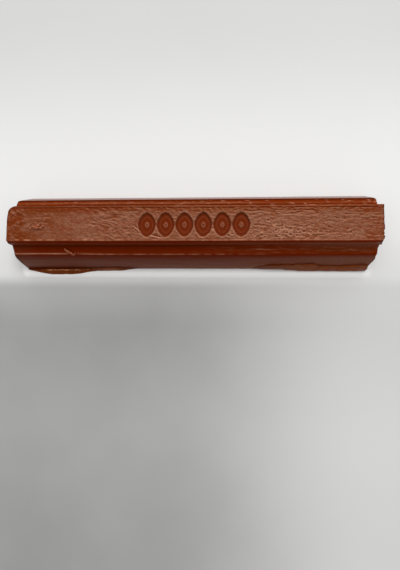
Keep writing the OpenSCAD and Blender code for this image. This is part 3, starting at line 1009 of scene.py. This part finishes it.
def varied(place, settings, stretch):
    """A factor that varies from place to place, from the settings of a noise and a stretch of its values"""
    return ramp(noise_node(place, *settings), *stretch)


def math_node(operation, first, second=0):
    node = first.id_data.nodes.new("ShaderNodeMath")
    node.operation = operation
    feed(node, {0: first, 1: second})
    return node.outputs["Value"]


def plus(first, second):
    return math_node("ADD", first, second)


def times(first, second):
    return math_node("MULTIPLY", first, second)


def mix_colors(share, first, second):
    node = share.id_data.nodes.new("ShaderNodeMix")
    node.data_type = "RGBA"
    feed(node, {"Factor": share, "A": first, "B": second})
    return node.outputs["Result"]


def split(coordinates):
    node = coordinates.id_data.nodes.new("ShaderNodeSeparateXYZ")
    feed(node, {"Vector": coordinates})
    return node.outputs


def painted(tree, name):
    node = tree.nodes.new("ShaderNodeAttribute")
    node.attribute_name = name
    return node.outputs["Fac"]


def new_material(name):
    """A material with its node tree, its shader, and the object's own coordinates"""
    material = bpy.data.materials.new(name)
    material.use_nodes = True
    tree = material.node_tree
    place = tree.nodes.new("ShaderNodeTexCoord").outputs["Object"]
    return material, tree, tree.nodes["Principled BSDF"], place


# Colours of the wax, and the colours it is painted with for light, highlights, reflection and shade
# On the cast wax CLEAN_WAX is the lit copy and DEEP_WAX the shaded copy; on the overflow and loose wax
# CLEAN_WAX is the deeper tone
CLEAN_WAX = (0.13, 0.023, 0.0028, 1)
DEEP_WAX = (0.16, 0.0138, 0.0009, 1)
# Colour of bloom, and of the painted reflection of the paper on the walls
BLOOM_WAX = (0.203, 0.08, 0.046, 1)
THIN_WAX = (0.195, 0.041, 0.006, 1)
# Pale rubbed wax, and the colours of painted highlights: pale, gold on the lip, and the lit chip colour
PALE_WAX = (0.44, 0.2, 0.12, 1)
GOLD_WAX = (0.74, 0.29, 0.125, 1)
CHIP_WAX = (0.4, 0.12, 0.066, 1)
# Colour of painted shade
DARK_WAX = (0.042, 0.0075, 0.0013, 1)
SHEEN = (1, 0.66, 0.37, 1)
WAX_IOR = 1.44

# Light that enters the wax: its share, how deep it goes, and how far red, green and blue spread
GLOW_SHARE = 0.06
GLOW_DEPTH = 1.2 * MM
GLOW_SPREAD = (1.0, 0.28, 0.1)

# What the pieces are painted with, for the wax to read
LAYERS = ("bloom", "warm", "rub", "dark", "gloss")

# Clean wax, and wax in full bloom and painted reflection
WAX_ROUGHNESS = (0.28, 0.45)
WAX_SHINE = (0.5, 0.2)

# Noise in the wax: scale per metre, detail, roughness and any distortion; and the stretch of its values
MOTTLE = (900, 5, 0.65), (0.35, 0.65, 0.65, 1.25)
SPECKLE = (3200, 2, 0.6), (0.3, 0.7, 0.35, 1.6)
SWIRL = (160, 4, 0.5, 0.6), (0.3, 0.7, 0.75, 1.15)

# Small bumps in the surface, from two noises together
FINE_BUMPS = (3500, 3, 0.6)
COARSE_BUMPS = (1100, 3, 0.6)
BUMP_HEIGHT = 0.03 * MM
BUMP_STRENGTH = 0.9


def wax_material(name, deep, clean, pale, extra_bloom=0.0):
    """Pigmented wax, its shaded and lit copies mixed by painted light: clean and glossy in its hollows,
    with a dry pale bloom where it was handled, painted reflection of the paper, pale rubbed wear with
    painted highlights, and painted shade
    """
    material, tree, shader, place = new_material(name)
    bloom, warm, rub, dark, gloss = [painted(tree, layer) for layer in LAYERS]
    dusty = times(plus(bloom, extra_bloom), times(varied(place, *MOTTLE), varied(place, *SPECKLE)))
    pigment = mix_colors(times(warm, varied(place, *SWIRL)), deep, clean)
    rubbed = mix_colors(rub, mix_colors(dusty, pigment, BLOOM_WAX), pale)
    bump = tree.nodes.new("ShaderNodeBump")
    feed(bump, {"Height": plus(noise_node(place, *FINE_BUMPS), noise_node(place, *COARSE_BUMPS)),
                "Distance": BUMP_HEIGHT, "Strength": BUMP_STRENGTH})
    feed(shader, {
        "Base Color": mix_colors(dark, rubbed, DARK_WAX), "Normal": bump.outputs["Normal"],
        "Roughness": ramp(dusty, 0, 1, *WAX_ROUGHNESS), "IOR": WAX_IOR,
        "Specular IOR Level": times(ramp(dusty, 0, 1, *WAX_SHINE), gloss), "Specular Tint": SHEEN,
        "Subsurface Weight": GLOW_SHARE, "Subsurface Scale": GLOW_DEPTH, "Subsurface Radius": GLOW_SPREAD})
    return material


def dress(piece, material, slot, *nodes):
    piece.data.materials.append(material)
    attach(piece, "root")
    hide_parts(*nodes)


# The camera looked down from close above the bar, a little in front of it: millimetres and degrees
CAMERA_PLACE = (7.2, -20.13, 100.26)
CAMERA_TURN = (3.969, 3.14, 0.437)
CLIP_START = 10

# Its focal length and the longer side of its picture, in pixels of the photo
FOCAL_PIXELS = 401
FRAME_PIXELS = 570
SENSOR = 36


def make_camera():
    lens = bpy.data.cameras.new("camera")
    lens.sensor_width = SENSOR
    lens.lens = SENSOR * FOCAL_PIXELS / FRAME_PIXELS
    lens.clip_start = CLIP_START * MM
    camera = add_object("camera", lens)
    camera.location = (np.array(CAMERA_PLACE) + [0, BAR_BACK, 0]) * MM
    camera.rotation_euler = [math.radians(turn) for turn in CAMERA_TURN]
    bpy.context.scene.camera = camera


FLOOR_SIZE = 4
PAPER_PALE = (0.687, 0.687, 0.68, 1)
# Colour of the paper in painted shadow, and the pale painted light round the bar's foot
PAPER_SHADE = (0.255, 0.255, 0.249, 1)
PAPER_CLOSE = (0.88, 0.88, 0.865, 1)
PAPER_PATCHES = (30, 3, 0.5), (0.2, 0.8, 0.92, 1.08)
PAPER_ROUGHNESS = 0.7
PAPER_SHINE = 0.2

# Painted shadow on the paper over y, or over x for the last: from, to, in metres, and the share of painted
# shadow at each
BESIDE_BAR = (0.002, -0.011, 0, 0.2)
WELL_IN_FRONT = (-0.02, -0.05, 0, -0.1)
BEHIND_BAR = (0.012, 0.062, 0, 0.36)
CLOSE_IN_FRONT = (-0.0096, -0.0136, 0, 0.6)
FURTHER_IN_FRONT = (-0.0125, -0.024, 0, 0.17)
FAR_IN_FRONT = (-0.045, -0.08, 0, 0.09)
TOWARDS_LEFT = (0.045, -0.012, 0.3, 1)

# Painted light makes the paper pale again close round the bar's foot, against its shadow: over the distance
# from it, over y and over x
HALO_REACH = (0.0004, 0.0017, 1, 0)
HALO_FRONT = (0.006, -0.004, 0, 1)
HALO_ALONG = (0.046, 0.04, 0, 1)


def make_floor():
    bpy.ops.mesh.primitive_plane_add(size=FLOOR_SIZE, location=(0, 0, 0))
    floor = bpy.context.object
    floor.name = "floor"
    material, tree, shader, place = new_material("floor_paper")
    x, y, _ = split(place)

    # Painted shadow on the paper: none close behind the bar, most in front of it and towards the left, and
    # some far behind it
    front = plus(ramp(y, *FURTHER_IN_FRONT), ramp(y, *FAR_IN_FRONT))
    shade = times(plus(ramp(y, *CLOSE_IN_FRONT), front), ramp(x, *TOWARDS_LEFT))
    for band in (BESIDE_BAR, WELL_IN_FRONT, BEHIND_BAR):
        shade = plus(shade, ramp(y, *band))
    for node in tree.nodes:
        if node.type == "MAP_RANGE":
            node.interpolation_type = "SMOOTHSTEP"
    shade = times(shade, varied(place, *PAPER_PATCHES))

    # Painted light, pale again close round the bar's footprint
    squares = []
    for across, half in ((x, BAR_END * MM), (y, BASE_Y * MM)):
        past = math_node("MAXIMUM", math_node("SUBTRACT", math_node("ABSOLUTE", across), half))
        squares.append(times(past, past))
    away = math_node("SQRT", plus(*squares))
    halo = times(times(ramp(away, *HALO_REACH), ramp(y, *HALO_FRONT)), ramp(x, *HALO_ALONG))
    paper = mix_colors(shade, PAPER_PALE, PAPER_SHADE)
    feed(shader, {"Base Color": mix_colors(halo, paper, PAPER_CLOSE), "Roughness": PAPER_ROUGHNESS,
                  "Specular IOR Level": PAPER_SHINE})
    floor.data.materials.append(material)


# Light of the room: bright behind the bar, dim in front of it
FRONT_LIGHT = 0.4
BACK_LIGHT = 1.1
LIGHT_SPREAD = 0.75
WHITE = (1, 1, 1, 1)

# One soft box, high up behind the bar, in metres, degrees and watts
SOFTBOX_SIZE = (0.3, 0.2)
SOFTBOX_PLACE = (0.08, 0.32, 0.615)
SOFTBOX_TURN = (-27.5, 7, 0)
SOFTBOX_POWER = 2.84


def make_light():
    world = bpy.data.worlds.new("studio")
    bpy.context.scene.world = world
    world.use_nodes = True
    tree = world.node_tree
    _, y, _ = split(tree.nodes.new("ShaderNodeTexCoord").outputs["Generated"])
    strength = ramp(y, -LIGHT_SPREAD, LIGHT_SPREAD, FRONT_LIGHT, BACK_LIGHT)
    feed(tree.nodes["Background"], {"Color": WHITE, "Strength": strength})
    lamp = bpy.data.lights.new("softbox", "AREA")
    lamp.shape = "RECTANGLE"
    lamp.size, lamp.size_y = SOFTBOX_SIZE
    lamp.energy = SOFTBOX_POWER
    softbox = add_object("softbox", lamp)
    softbox.location = SOFTBOX_PLACE
    softbox.rotation_euler = [math.radians(turn) for turn in SOFTBOX_TURN]


wax = wax_material("cast_wax", DEEP_WAX, CLEAN_WAX, PALE_WAX)
overflow = wax_material("overflow_wax", CLEAN_WAX, THIN_WAX, GOLD_WAX)
loose = wax_material("loose_wax", CLEAN_WAX, THIN_WAX, CHIP_WAX, 0.1)
dress(make_bar(), wax, "cast_wax", "wax_bar")
dress(make_lip(), overflow, "overflow_wax", "overflow_lip")
dress(make_skin(), overflow, "overflow_wax", "overflow_skin")
dress(make_burr(), wax, "cast_wax", "end_burr")
dress(make_shaving(), loose, "loose_wax", "wax_shaving")
dress(make_crumbs(), loose, "loose_wax", "wax_crumbs")

bpy.context.scene.view_settings.view_transform = "Standard"
make_floor()
make_light()
make_camera()
